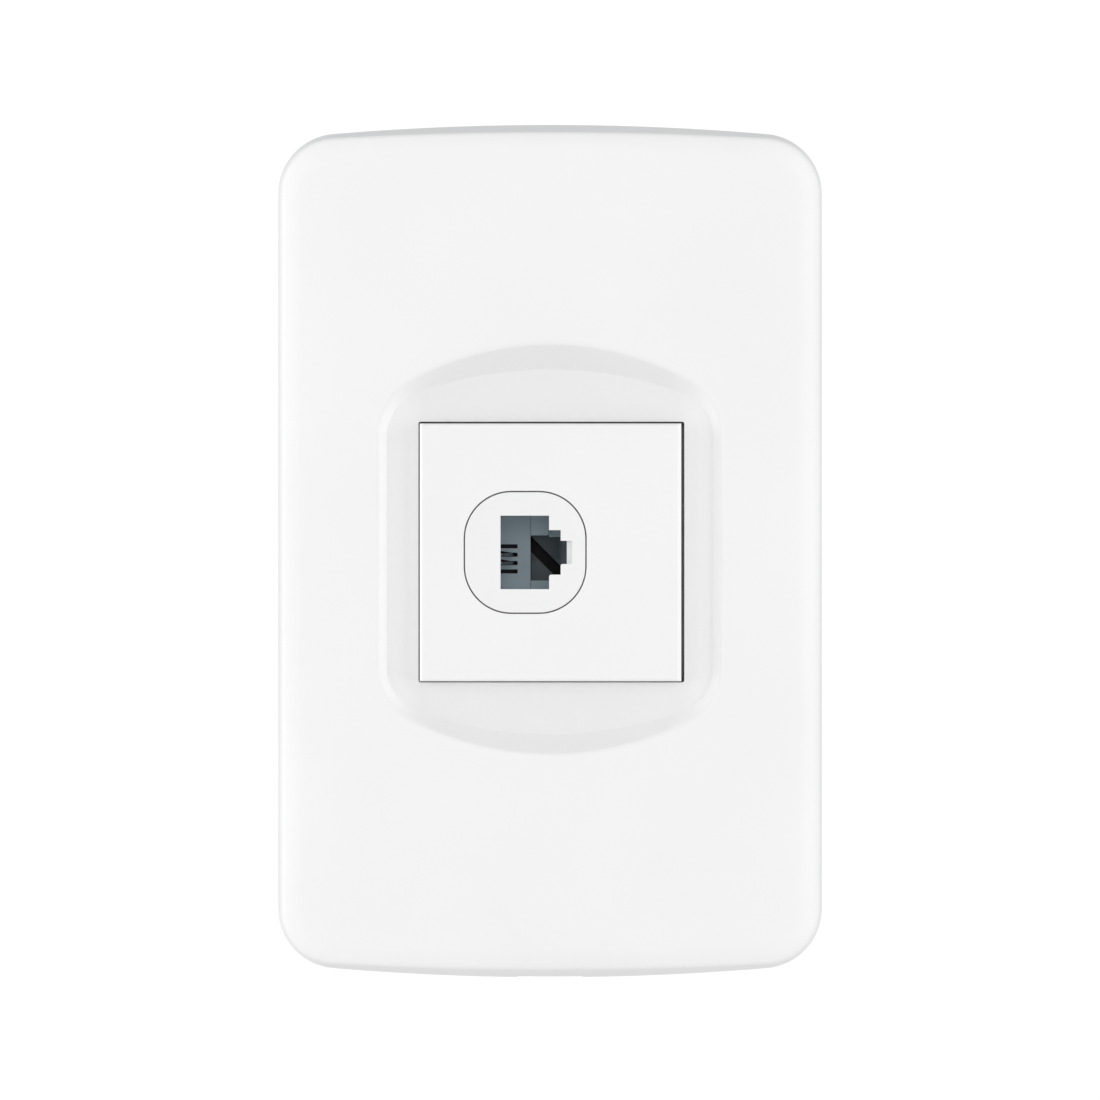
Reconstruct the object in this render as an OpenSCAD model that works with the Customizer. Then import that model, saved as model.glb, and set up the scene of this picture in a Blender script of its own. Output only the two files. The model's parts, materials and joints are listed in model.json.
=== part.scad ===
// Flush telephone wall socket: an arched front plate with a sunk lens-shaped bezel,
// one square module and a six-position modular jack turned a quarter turn.
// Every piece is drawn flat on the wall, x to the right, y up and z off the wall,
// and on_wall() then stands it up, so the front looks along -Y.

/* [Front plate] */
// Width of the front plate
plate_w = 75.3; // [72:0.1:80]
// Height of the front plate
plate_h = 118; // [114:0.5:124]
// How far the middle of the plate stands off the wall
plate_rise = 10; // [9.6:0.1:11.5]
// Radius of the arch across the front
arch_r = 120; // [112:1:180]
// Corner radius seen from the front
corner_r = 8.3; // [6:0.1:10]
// Radius of the bowed top and bottom edges
edge_bow_r = 358; // [280:1:700]
// Draft of the side walls, in degrees
wall_draft = 7; // [3:0.5:9]
// Radius between side wall and front
edge_r = 1; // [0.6:0.1:1.4]
// Radius of the soft roll just inside that edge
roll_r = 7; // [4:0.5:9]
// Angle the roll turns through
roll_angle = 20; // [10:1:24]
// Wall thickness of the plate
plate_wall = 2; // [1.7:0.1:2.2]
// Width of the pry notch in the bottom wall
pry_w = 9; // [6:0.5:14]

/* [Sunk lens] */
// Width of the lens floor
lens_w = 45.1; // [43.5:0.1:47]
// Height of the lens floor
lens_h = 50.4; // [48:0.1:53]
// Radius of the lens ends
lens_bow_r = 54; // [45:1:70]
// Shoulder radius of the lens
lens_corner_r = 6.5; // [5:0.1:8]
// Height of the lens floor above the wall
lens_floor = 6.5; // [6.2:0.1:6.9]
// Slope of the lens wall, in degrees from the floor
lens_slope = 48; // [42:1:60]
// Lean of the lens walls towards the top, in degrees
lens_lean = 6; // [0:0.5:8]
// How far the lens floor sits below the middle of the plate
lens_drop = 0.1; // [0:0.05:0.5]
// Thickness of the lens floor
lens_wall = 1.8; // [1.5:0.1:2.1]
// How far the module window sits below the middle of the plate
window_drop = 0.18; // [0:0.02:0.5]
// How far the module window sits right of the middle of the plate
window_right = 0.17; // [0:0.01:0.4]

/* [Module] */
// Width of the module front
module_w = 36.1; // [35:0.1:37]
// Height of the module front
module_h = 35.6; // [35:0.1:37]
// Gap between the module and its window
module_gap = 0.28; // [0.24:0.01:0.5]
// How far the module is seated to the left in its window
module_left = 0.1; // [0:0.05:0.15]
// How far the module front stands proud of the lens floor
module_proud = 2.5; // [2:0.1:3]
// Rounding of the module's front edges
module_edge_r = 0.45; // [0.3:0.05:0.6]
// Thickness of the module front
module_front_t = 1.8; // [1.6:0.1:2]
// Thickness of the module's skirt
skirt_wall = 1.4; // [1.2:0.1:1.5]
// Wall thickness of the rear housing
housing_wall = 1.5; // [1.3:0.1:1.7]
// Depth of the rear housing behind the wall surface
housing_depth = 16; // [15:0.5:19]

/* [Jack] */
// Side of the jack bezel
bezel_w = 16.6; // [16:0.1:17.6]
// Corner radius of the jack bezel
bezel_r = 6.4; // [5:0.1:7]
// Gap around the jack bezel
bezel_gap = 0.19; // [0.12:0.01:0.24]
// How far the jack sits left of the module's middle
jack_left = 3.5; // [3:0.1:4]
// Thickness of the plug that the jack takes
plug_t = 6.7; // [6.5:0.05:6.9]
// Width of the plug that the jack takes
plug_w = 10.15; // [9.8:0.05:10.3]
// Depth of the plug cavity behind the bezel's face
plug_depth = 12.3; // [12:0.1:13]
// Width of the shoulder beside the latch
shoulder_w = 6.15; // [5.8:0.05:6.4]
// Depth of the shoulder beside the latch
shoulder_d = 1.6; // [1.4:0.05:1.7]
// Width of the latch notch
latch_w = 3.2; // [3:0.05:3.4]
// Depth of the latch notch
latch_d = 1.55; // [1.4:0.05:1.6]
// Pitch of the comb's slots
slot_pitch = 1.16; // [1.1:0.01:1.2]
// Width of the comb's slots
slot_w = 0.56; // [0.5:0.02:0.6]
// Length of the comb's slots
slot_len = 2.33; // [2.2:0.05:2.6]
// Diameter of the contact wires
contact_d = 0.44; // [0.36:0.02:0.46]
// Rounding of the bezel's two lower corners beside shoulder and latch
step_r = 0.3; // [0.1:0.05:0.5]
// How much deeper the rear wall lies beside the shoulder
shoulder_step = 1; // [0.6:0.1:1.4]

/* [Support frame] */
// Height of the frame's front above the wall
frame_top = 3.2; // [3:0.05:3.3]
// Thickness of the frame's panel
frame_t = 1.8; // [1.5:0.1:2]
// Gap between the frame's ends and the plate's edge
frame_end = 4; // [3.8:0.1:5]
// Distance between the two box screws
box_screw_span = 83.5; // [82:0.5:85]
// Play of the box screws along their slots
slot_play = 3.6; // [2:0.1:5]

/* [Fasteners] */
// Thread diameter of the box screws
box_screw_d = 3.5; // [3.2:0.1:3.8]
// Length of the box screws under the head
box_screw_len = 25; // [22:1:32]
// Neck diameter of the box screws, thinner than the thread so that the keepers hold them
box_neck_d = 2.7; // [2.4:0.1:2.9]
// Thread diameter of the terminal screws
terminal_screw_d = 3; // [2.8:0.1:3.2]
// Length of the terminal screws under the head
terminal_screw_len = 7.4; // [6.5:0.1:9]
// Distance between the two terminal screws
terminal_span = 15; // [14:0.5:16]
// Side of the square clamp washers
clamp_w = 7; // [6.5:0.1:7.4]
// Diameter of the inner leads
lead_d = 1; // [0.8:0.05:1.1]

/* [Hidden] */
$fn = 48;
eps = 0.01;
WHITE = [0.96, 0.96, 0.96];
BEZEL_WHITE = [0.95, 0.955, 0.96];
FRAME_GREY = [0.80, 0.80, 0.79];
JACK_GREY = [0.42, 0.45, 0.47];
COMB_GREY = [0.50, 0.54, 0.56];
CAP_DARK = [0.17, 0.19, 0.20];
BRASS = [0.80, 0.66, 0.36];
STEEL = [0.72, 0.72, 0.70];
ZINC = [0.75, 0.75, 0.73];
NYLON = [0.90, 0.89, 0.84];
LEAD_RED = [0.70, 0.10, 0.08];
LEAD_GREEN = [0.10, 0.42, 0.16];

// Clearances
snap_gap = 0.1;
slide_gap = 0.1;
cover_gap = 0.4;

// Facets of the plate's outline
corner_steps = 8;
bow_steps = 6;

// Plate
roll_run = roll_r * sin(roll_angle) + edge_r * (cos(wall_draft) - sin(roll_angle));
roll_drop = roll_r * (1 - cos(roll_angle)) + edge_r * (cos(roll_angle) - sin(wall_draft));
window_w = module_w + 2 * module_gap;
window_h = module_h + 2 * module_gap;
collar_wall = 1.2;
pry_h = 1;
rib_y = (lens_h / 2 + box_screw_span / 2) / 2;
rib_reach = arch_x(frame_top + 3);

// Frame
frame_under = frame_top - frame_t;
frame_side_gap = 1;
frame_half_w = min(arch_x(frame_top + plate_wall + cover_gap),
                   plate_w / 2 - plate_wall - frame_top * tan(wall_draft) - frame_side_gap);
frame_half_h = plate_h / 2 - frame_end;
frame_corner_r = 5;
frame_rim = 1.6;
housing_w = module_w - 2 * skirt_wall - 2 * slide_gap;
frame_window = housing_w + 8 * slide_gap;
boss_r = 6.6;
hook_w = 7;
hook_t = 1.5;
hook_nose = 0.9;
hook_x = 20;
hook_y = frame_half_h - frame_rim - hook_nose - slide_gap - hook_t / 2 - 0.2;

// Module
module_z = lens_floor + module_proud;
face_back = module_z - module_front_t;
flange_t = 1.2;
flange_reach = 1.4;
bezel_back = face_back - slide_gap - flange_t;
housing_front = face_back - 1.2;
housing_r = 1.5;
lug_w = 9;
lug_reach = 0.8 + 4 * slide_gap;
catch_w = 8;
catch_z = housing_front - 0.6;
catch_reach = 0.8;

// Jack, measured from the middle of its bezel
plug_x0 = -plug_t / 2 - 0.05;
plug_x1 = plug_x0 + plug_t;
shoulder_x1 = plug_x1 + shoulder_d;
latch_x1 = shoulder_x1 + latch_d;
latch_ledge = 0.7;
latch_ledge_depth = 1;
cavity_z = module_z - plug_depth;
body_wall = 2.45;
body_x0 = plug_x0 - body_wall;
body_x1 = latch_x1 + 1.2;
body_h = plug_w + 2 * 2.1;
rear_wall = 2;
body_back = cavity_z - rear_wall;
cap_t = 3.5;
cap_back = body_back - cap_t;
comb_x1 = plug_x0 + 4.13;
comb_back = body_back - 1.7;
slot_end = plug_x0 + slot_len;
slot_first = 0.84;
slot_ys = [for (i = [0:3]) slot_first - i * slot_pitch];
wire_ys = [slot_ys[1], slot_ys[2]];
well_top = 2.35;
well_bottom = -3.9;
well_lip = 0.22;
block_r = 0.5;
groove_w = contact_d + 0.16;
wire_leg_x = plug_x0 - 1.2;
wire_bend_r = 0.8;
wire_bend_z = bezel_back - 2.8;

// Terminals, measured from the middle of the module
terminal_y = -8;
terminal_xs = [-terminal_span / 2, terminal_span / 2];
terminal_back = -housing_depth;
plate_t = 0.8;
plate_side = 9;
eye_y = -2.2;
eye_r = lead_d / 2 + 0.15;
washer_t = 0.9;
terminal_boss_r = terminal_screw_d / 2 + 1.7;
terminal_bore = terminal_screw_len - plate_t - washer_t + 0.8;
terminal_head_h = 2;
barrier_h = 5;
barrier_t = 1.3;
lead_x = wire_leg_x - jack_left;
lead_level = cap_back - 2.8;
rear_channel_z = lead_level - 1.9;

// Keepers of the box screws
keeper_r = 4.2;
keeper_t = 0.8;
keeper_seat = 1;
box_head_h = 2.3;

// Height of the plate's front above the wall, x from the middle
function front_z(x) = plate_rise - arch_r + sqrt(arch_r * arch_r - x * x);

// Distance from the middle at which the front is z above the wall
function arch_x(z) = sqrt(arch_r * arch_r - pow(arch_r - plate_rise + z, 2));

// First quarter of a rectangle with bowed ends and round corners, shrunk by inset
function bowed_quarter(half_w, half_h, bow_r, round_r, inset) =
    let (cx = half_w - round_r,
         cy = half_h - bow_r + sqrt(pow(bow_r - round_r, 2) - cx * cx),
         tilt = asin(cx / (bow_r - round_r)))
    concat(
        [for (i = [0:corner_steps])
            let (t = (90 - tilt) * i / corner_steps)
            [cx + (round_r - inset) * cos(t), cy + (round_r - inset) * sin(t)]],
        [for (i = [1:bow_steps])
            let (t = tilt * (1 - i / bow_steps))
            [(bow_r - inset) * sin(t), half_h - bow_r + (bow_r - inset) * cos(t)]]);

// The quarter mirrored into a closed loop, anticlockwise from the right-hand side
function mirrored_loop(q) = concat(
    q,
    [for (i = [len(q) - 2:-1:0]) [-q[i].x, q[i].y]],
    [for (p = q) [-p.x, -p.y]],
    [for (i = [len(q) - 2:-1:0]) [q[i].x, -q[i].y]]);

function plate_loop(inset) =
    mirrored_loop(bowed_quarter(plate_w / 2, plate_h / 2, edge_bow_r, corner_r, inset));

function lens_loop(inset) =
    mirrored_loop(bowed_quarter(lens_w / 2, lens_h / 2, lens_bow_r, lens_corner_r, inset));

// Steps across the plate's edge, from the side wall in: run from the roll's inner end, drop
function edge_steps() = concat(
    [for (s = [90 - wall_draft, 62, 40])
        [roll_r * sin(roll_angle) + edge_r * (sin(s) - sin(roll_angle)),
         roll_r * (1 - cos(roll_angle)) + edge_r * (cos(roll_angle) - cos(s))]],
    [for (s = [1, 0.66, 0.33, 0] * roll_angle) [roll_r * sin(s), roll_r * (1 - cos(s))]]);

// One ring of the plate's outside: a point moves in along its outline's normal
function plate_ring(step, sink) =
    let (base = plate_loop(0), one = plate_loop(1))
    [for (i = [0:len(base) - 1])
        let (wall_in = (front_z(base[i].x) - roll_drop) * tan(wall_draft),
             in = wall_in + roll_run - step[0] + sink,
             p = base[i] + (one[i] - base[i]) * in)
        [p.x, p.y, front_z(p.x) - step[1] - sink]];

// The ring where the walls meet the plane at height z, or go on below it
function foot_ring(z, sink) =
    [for (p = plate_loop(sink + z * tan(wall_draft))) [p.x, p.y, z]];

// Solid skinned over rings of equally many points, its last ring closed by strips across y
module skinned(rings) {
    n = len(rings[0]);
    last = (len(rings) - 1) * n;
    points = [for (r = rings) each r];
    sides = [for (k = [0:len(rings) - 2]) for (i = [0:n - 1])
        let (a = k * n + i, b = k * n + (i + 1) % n)
        each [[a, b + n, b], [a, a + n, b + n]]];
    top = [for (k = [0:n / 2 - 2])
        each [[last + k, last + n - 2 - k, last + k + 1],
              [last + k, last + n - 1 - k, last + n - 2 - k]]];
    bottom = [for (k = [0:n / 2 - 2])
        each [[k, k + 1, n - 2 - k], [k, n - 2 - k, n - 1 - k]]];
    polyhedron(points = points, faces = concat(sides, top, bottom), convexity = 4);
}

module on_wall() {
    rotate([90, 0, 0]) children();
}

module at_window() {
    translate([window_right, -window_drop, 0]) children();
}

module at_module() {
    translate([window_right - module_left, -window_drop, 0]) children();
}

module at_jack() {
    at_module() translate([-jack_left, 0, 0]) children();
}

// Flat shape between two heights
module between(z0, z1) {
    translate([0, 0, z0]) linear_extrude(height = z1 - z0) children();
}

module round_square(w, h, r) {
    square([w - 2 * r, h], center = true);
    square([w, h - 2 * r], center = true);
    for (x = [-1, 1])
        for (y = [-1, 1])
            translate([x * (w / 2 - r), y * (h / 2 - r)]) circle(r);
}

module box_span(x0, x1, y0, y1, z0, z1) {
    translate([x0, y0, z0]) cube([x1 - x0, y1 - y0, z1 - z0]);
}

// Cover plate

module plate_outside() {
    skinned(concat([foot_ring(0, 0)], [for (s = edge_steps()) plate_ring(s, 0)]));
}

module plate_inside() {
    skinned([foot_ring(-1, plate_wall), plate_ring(edge_steps()[0], plate_wall),
             plate_ring(edge_steps()[2], plate_wall), plate_ring([0, 0], plate_wall)]);
}

// Solid widening from the lens floor's outline, at height z, grown by margin
module lens_flare(z, margin) {
    reach = 2 * (plate_rise - lens_floor);
    y0 = (z - lens_floor) * tan(lens_lean) - lens_drop;
    y1 = y0 + reach * tan(lens_lean);
    top = [for (p = lens_loop(-margin - reach / tan(lens_slope))) [p.x, p.y + y1, z + reach]];
    foot = [for (p = lens_loop(-margin)) [p.x, p.y + y0, z]];
    skinned([foot, top]);
}

// Stiffening rib under the front, thinner at its free edge
module plate_rib(y) {
    intersection() {
        hull() {
            box_span(-rib_reach, rib_reach, y - 0.7, y + 0.7,
                     plate_rise - plate_wall, plate_rise - plate_wall + 1);
            box_span(-rib_reach, rib_reach, y - 0.5, y + 0.5, frame_top + 1, frame_top + 2);
        }
        plate_outside();
    }
}

// Snap hook: an arm down from the front, with a nose that catches under the frame's panel
module cover_hook(side) {
    y0 = side > 0 ? hook_y - hook_t / 2 : -hook_y - hook_t / 2;
    root_z = front_z(hook_x + hook_w / 2) - plate_wall + 0.5;
    tip = y0 + (side > 0 ? hook_t : 0);
    box_span(-hook_w / 2, hook_w / 2, y0, y0 + hook_t, 0.3, root_z);
    hull() {
        box_span(-hook_w / 2, hook_w / 2, y0, y0 + hook_t, 0.3, frame_under - snap_gap);
        box_span(-hook_w / 2, hook_w / 2,
                 min(tip, tip + side * hook_nose), max(tip, tip + side * hook_nose),
                 frame_under - snap_gap - 0.3, frame_under - snap_gap);
    }
    // Foot of the arm, thickened where it meets the front
    hull() {
        box_span(-hook_w / 2, hook_w / 2, y0, y0 + hook_t, root_z - 1.6, root_z);
        box_span(-hook_w / 2, hook_w / 2, y0 - 0.6, y0 + hook_t + 0.6, root_z - 0.3, root_z);
    }
}

module cover_plate() {
    color(WHITE) on_wall() {
        difference() {
            union() {
                difference() {
                    plate_outside();
                    plate_inside();
                }
                intersection() {
                    plate_outside();
                    lens_flare(lens_floor - lens_wall, lens_wall * tan(90 - lens_slope));
                }
                at_window() between(frame_top + cover_gap, lens_floor - lens_wall + eps)
                    round_square(window_w + 2 * collar_wall, window_h + 2 * collar_wall, 0.8);
                for (y = [-rib_y, rib_y])
                    plate_rib(y);
            }
            lens_flare(lens_floor, 0);
            at_window() between(frame_top, plate_rise)
                round_square(window_w, window_h, 0.3);
            box_span(-pry_w / 2, pry_w / 2, -plate_h / 2 - 1, -plate_h / 2 + plate_wall + 1,
                     -1, pry_h);
        }
        for (x = [-hook_x, hook_x])
            for (side = [-1, 1])
                translate([x, 0, 0]) cover_hook(side);
    }
}

// Support frame

module screw_slot(r) {
    translate([-slot_play / 2, 0]) circle(r);
    translate([slot_play / 2, 0]) circle(r);
    square([slot_play, 2 * r], center = true);
}

module support_frame() {
    color(FRAME_GREY) on_wall() difference() {
        union() {
            between(frame_under, frame_top)
                round_square(2 * frame_half_w, 2 * frame_half_h, frame_corner_r);
            between(0, frame_under) difference() {
                round_square(2 * frame_half_w, 2 * frame_half_h, frame_corner_r);
                round_square(2 * (frame_half_w - frame_rim), 2 * (frame_half_h - frame_rim),
                             frame_corner_r - frame_rim);
            }
            at_window() between(0, frame_under)
                round_square(frame_window + 2 * frame_rim, frame_window + 2 * frame_rim, 1);
            for (side = [-1, 1])
                translate([0, side * box_screw_span / 2, 0])
                    cylinder(r = boss_r, h = frame_top - eps);
        }
        at_window() between(-1, frame_top + 1)
            round_square(frame_window, frame_window, 0.5);
        for (side = [-1, 1])
            translate([0, side * box_screw_span / 2, 0]) {
                between(-1, frame_top + 1) screw_slot(box_screw_d / 2 + 0.45);
                translate([0, 0, -1]) cylinder(r = keeper_r + 0.2, h = 1 + keeper_seat);
            }
        for (x = [-hook_x, hook_x])
            for (side = [-1, 1])
                translate([x, side * hook_y, 0])
                    box_span(-hook_w / 2 - 0.5, hook_w / 2 + 0.5,
                             -hook_t / 2 - (side > 0 ? 1.2 : 0.2),
                             hook_t / 2 + (side > 0 ? 0.2 : 1.2), frame_under - eps, frame_top + 1);
    }
}

// Module front and rear housing

// Section of a block with its two front edges rounded
module rounded_section(w, z0, z1, r) {
    translate([-w / 2, z0]) square([w, z1 - z0 - r]);
    translate([-w / 2 + r, z0]) square([w - 2 * r, z1 - z0]);
    for (x = [-1, 1])
        translate([x * (w / 2 - r), z1 - r]) circle(r);
}

module pillow_block(w, h, z0, z1, r) {
    intersection() {
        translate([0, h / 2, 0]) rotate([90, 0, 0])
            linear_extrude(height = h) rounded_section(w, z0, z1, r);
        rotate([0, 0, 90]) translate([0, w / 2, 0]) rotate([90, 0, 0])
            linear_extrude(height = w) rounded_section(h, z0, z1, r);
    }
}

module module_face() {
    inner = module_w - 2 * skirt_wall;
    color(WHITE) on_wall() difference() {
        at_module() pillow_block(module_w, module_h, frame_top, module_z, module_edge_r);
        at_module() between(frame_top - 1, face_back) square(inner, center = true);
        at_jack() between(face_back - 1, module_z + 1)
            round_square(bezel_w + 2 * bezel_gap, bezel_w + 2 * bezel_gap,
                         bezel_r + bezel_gap);
        at_module() for (side = [-1, 1])
            translate([side * module_w / 2, 0, 0])
                box_span(-skirt_wall - 1, skirt_wall + 1, -catch_w / 2 - 0.3, catch_w / 2 + 0.3,
                         catch_z - 1, catch_z + 0.1);
    }
}

// Wedge-shaped catch on the housing's left and right walls, in the skirt's windows
module housing_catch(side) {
    x = side * housing_w / 2;
    translate([x, catch_w / 2, 0]) rotate([90, 0, 0]) linear_extrude(height = catch_w)
        polygon([[-side * 0.5, catch_z - 0.9], [side * catch_reach, catch_z - 0.9],
                 [side * 0.1, catch_z], [-side * 0.5, catch_z]]);
}

// Lug that snaps behind the frame's window, its shoulder just clear of the frame's back
module housing_lug(side) {
    y = side * housing_w / 2;
    rotate([90, 0, 90]) translate([0, 0, -lug_w / 2]) linear_extrude(height = lug_w)
        polygon([[y - side * 0.5, -snap_gap], [y + side * lug_reach, -snap_gap],
                 [y + side * 0.1, -3.6], [y - side * 0.5, -3.6]]);
}

module terminal_barriers() {
    x_out = terminal_span / 2 + plate_side / 2 + 0.2;
    y_low = terminal_y - plate_side / 2 - 0.6;
    y_top = eye_y + eye_r + 1;
    z0 = terminal_back - barrier_h;
    for (x = [-x_out - barrier_t, -barrier_t / 2, x_out])
        box_span(x, x + barrier_t, y_low, y_top, z0, terminal_back + eps);
    box_span(-x_out - barrier_t, x_out + barrier_t, y_top, y_top + barrier_t,
             z0, terminal_back + eps);
}

module module_housing() {
    cradle_x0 = body_x0 - jack_left - slide_gap - 1.2;
    cradle_x1 = body_x1 - jack_left + slide_gap + 1.2;
    cradle_y = body_h / 2 + slide_gap + 1.2;
    inner = housing_w - 2 * housing_wall;
    color(FRAME_GREY) on_wall() at_module() difference() {
        union() {
            difference() {
                between(terminal_back, housing_front)
                    round_square(housing_w, housing_w, housing_r);
                between(terminal_back + housing_wall, housing_front + 1)
                    square(inner, center = true);
            }
            box_span(cradle_x0, cradle_x1, -cradle_y, cradle_y,
                     terminal_back + eps, wire_bend_z - 1.5);
            for (x = terminal_xs)
                translate([x, terminal_y, terminal_back + eps])
                    cylinder(r = terminal_boss_r, h = terminal_bore + 1);
            terminal_barriers();
            for (side = [-1, 1]) {
                housing_catch(side);
                housing_lug(side);
            }
        }
        translate([-jack_left, 0, 0])
            box_span(body_x0 - slide_gap, body_x1 + slide_gap,
                     -body_h / 2 - slide_gap, body_h / 2 + slide_gap, cap_back, 10);
        // Channel for the leads from the jack's back to the terminals
        box_span(lead_x - 1.2, inner / 2, eye_y - eye_r - 0.2, wire_ys[0] + 2,
                 rear_channel_z, cap_back + eps);
        for (x = terminal_xs) {
            translate([x, eye_y, terminal_back - 1])
                cylinder(r = eye_r, h = rear_channel_z - terminal_back + 2);
            translate([x, terminal_y, terminal_back - 1])
                cylinder(r = terminal_screw_d / 2 + 0.05, h = terminal_bore + 1);
        }
    }
}

// Jack

// Plug opening seen from the front: body, shoulder and latch notch
module plug_outline(grow, latch_end) {
    half = plug_w / 2 + grow;
    translate([plug_x0 - grow, -half]) square([plug_t + 2 * grow, 2 * half]);
    translate([plug_x1 - 1, -shoulder_w / 2 - grow])
        square([shoulder_d + 1 + grow, shoulder_w + 2 * grow]);
    translate([shoulder_x1 - 1, -latch_w / 2 - grow])
        square([latch_end - shoulder_x1 + 1, latch_w + 2 * grow]);
}

// What rounding takes off a corner at x, y whose material lies right of it and below
module eased_corner(x, y, r) {
    translate([x, y]) difference() {
        translate([-eps, -r]) square(r + eps);
        translate([r, -r]) circle(r);
    }
}

module jack_bezel() {
    flange = bezel_w + 2 * flange_reach;
    color(BEZEL_WHITE) on_wall() at_jack() difference() {
        union() {
            between(bezel_back, module_z) round_square(bezel_w, bezel_w, bezel_r);
            between(bezel_back, bezel_back + flange_t)
                round_square(flange, flange, bezel_r + flange_reach);
        }
        between(bezel_back - 1, module_z + 1) plug_outline(0, latch_x1 - latch_ledge);
        between(module_z - latch_ledge_depth, module_z + 1) plug_outline(0, latch_x1);
        between(bezel_back - 1, module_z + 1) {
            eased_corner(plug_x1, -shoulder_w / 2, step_r);
            eased_corner(shoulder_x1, -latch_w / 2, step_r);
        }
    }
}

module jack_body() {
    color(JACK_GREY) on_wall() at_jack() difference() {
        box_span(body_x0, body_x1, -body_h / 2, body_h / 2, body_back, bezel_back);
        between(cavity_z, bezel_back + 1) plug_outline(slide_gap / 2, latch_x1 - latch_ledge);
        // Seat of the comb in the rear wall
        box_span(plug_x0 - slide_gap / 2, comb_x1 + slide_gap / 2,
                 -plug_w / 2 - slide_gap / 2, plug_w / 2 + slide_gap / 2,
                 body_back - 1, cavity_z + eps);
        // Well beside the comb, open to the rear cap, a little lower beside the shoulder
        box_span(comb_x1, plug_x1, well_bottom, well_top, body_back - 1, cavity_z + eps);
        box_span(plug_x1 - eps, latch_x1 - latch_ledge, well_bottom, well_top - well_lip,
                 body_back - 1, cavity_z + eps);
        // Rear wall beside the shoulder, with the rounded corner of the block next to it
        between(cavity_z - shoulder_step, cavity_z + eps) {
            translate([plug_x1, -shoulder_w / 2 - slide_gap / 2])
                square([shoulder_d + slide_gap / 2, shoulder_w + slide_gap]);
            translate([plug_x1, well_top]) rotate([0, 0, 180]) eased_corner(0, 0, block_r);
        }
        // Grooves that carry the contact wires along the left wall
        for (y = slot_ys)
            box_span(wire_leg_x - groove_w / 2, plug_x0 + eps, y - groove_w / 2, y + groove_w / 2,
                     body_back - 1, wire_bend_z + wire_bend_r + contact_d);
    }
}

// Slot with its upper side flared towards the left, where the wire swings in
module comb_slot(flared) {
    left = plug_x0 - 1;
    flare = flared ? 0.24 : 0;
    polygon([[left, -slot_w / 2], [slot_end, -slot_w / 2], [slot_end, slot_w / 2],
             [plug_x0 + 0.62 * slot_len, slot_w / 2], [plug_x0, slot_w / 2 + flare],
             [left, slot_w / 2 + flare]]);
}

module contact_comb() {
    color(COMB_GREY) on_wall() at_jack() difference() {
        box_span(plug_x0, comb_x1, -plug_w / 2, plug_w / 2, comb_back, cavity_z);
        for (i = [0:3])
            translate([0, slot_ys[i], 0]) between(comb_back + 0.9, cavity_z + 1)
                comb_slot(i == 1 || i == 2);
    }
}

module jack_rear_cap() {
    color(CAP_DARK) on_wall() at_jack() difference() {
        box_span(body_x0, body_x1, -body_h / 2, body_h / 2, cap_back, body_back);
        // Pocket for the comb's tail
        box_span(plug_x0 - slide_gap / 2, comb_x1 + slide_gap / 2,
                 -plug_w / 2 - slide_gap / 2, plug_w / 2 + slide_gap / 2,
                 comb_back, body_back + 1);
        // Slanted groove across the floor of the well
        translate([2.5, -0.55, 0]) rotate([0, 0, -45])
            box_span(-6, 6, -0.75, 0.75, body_back - 2.2, body_back + 1);
        for (y = wire_ys)
            translate([wire_leg_x, y, cap_back - 1])
                cylinder(r = contact_d / 2 + 0.08, h = cap_t + 2);
    }
}

// Contact wire: up the groove, round a bend behind the bezel and back down to the comb
module contact_wire(y) {
    bend_x = wire_leg_x + wire_bend_r;
    free_x = wire_leg_x + 2 * wire_bend_r;
    free_end = [slot_end - contact_d / 2 - 0.1, comb_back + 1.4];
    run = sqrt(pow(free_end[0] - free_x, 2) + pow(wire_bend_z - free_end[1], 2));
    lean = atan2(free_end[0] - free_x, wire_bend_z - free_end[1]);
    color(STEEL) on_wall() at_jack() translate([0, y, 0]) {
        translate([wire_leg_x, 0, cap_back]) cylinder(d = contact_d, h = wire_bend_z - cap_back);
        translate([bend_x, 0, wire_bend_z]) rotate([90, 0, 0])
            rotate_extrude(angle = 180) translate([wire_bend_r, 0]) circle(d = contact_d);
        translate([free_x, 0, wire_bend_z]) {
            sphere(d = contact_d);
            rotate([0, 180 - lean, 0]) cylinder(d = contact_d, h = run);
        }
    }
}

// Corners cut twice, so that a lead bends softly
function soften(points, times) = times == 0 ? points : soften(concat(
    [points[0]],
    [for (i = [0:len(points) - 2])
        each [points[i] * 0.75 + points[i + 1] * 0.25, points[i] * 0.25 + points[i + 1] * 0.75]],
    [points[len(points) - 1]]), times - 1);

// Ring of a lead's tube, square to the direction it runs in
function lead_ring(p, run) =
    let (ahead = run / norm(run), u = cross(ahead, [0, 1, 0]), v = cross(ahead, u / norm(u)))
    [for (t = [0:45:315]) p + lead_d / 2 * (u / norm(u) * cos(t) + v * sin(t))];

module lead_run(corners) {
    path = soften(corners, 2);
    last = len(path) - 1;
    skinned([for (i = [0:last])
        lead_ring(path[i], path[min(i + 1, last)] - path[max(i - 1, 0)])]);
}

// Stretch that all leads share: down through the rear wall and out of the plate's eye
function lead_tail(x) = [[x, eye_y, rear_channel_z + 1.2], [x, eye_y, rear_channel_z - 0.1],
                         [x, eye_y, terminal_back - plate_t - 0.6]];

module lead_right() {
    color(LEAD_GREEN) on_wall() at_module() lead_run(concat(
        [[lead_x, wire_ys[0], cap_back], [lead_x, wire_ys[0], cap_back - 1.2],
         [lead_x + 1.6, wire_ys[0] + 1, lead_level],
         [terminal_xs[1] - 1.6, wire_ys[0] + 1, lead_level]], lead_tail(terminal_xs[1])));
}

module lead_left() {
    color(LEAD_RED) on_wall() at_module() lead_run(concat(
        [[lead_x, wire_ys[1], cap_back], [lead_x, wire_ys[1], cap_back - 2.2]],
        lead_tail(terminal_xs[0])));
}

// Terminals

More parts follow.
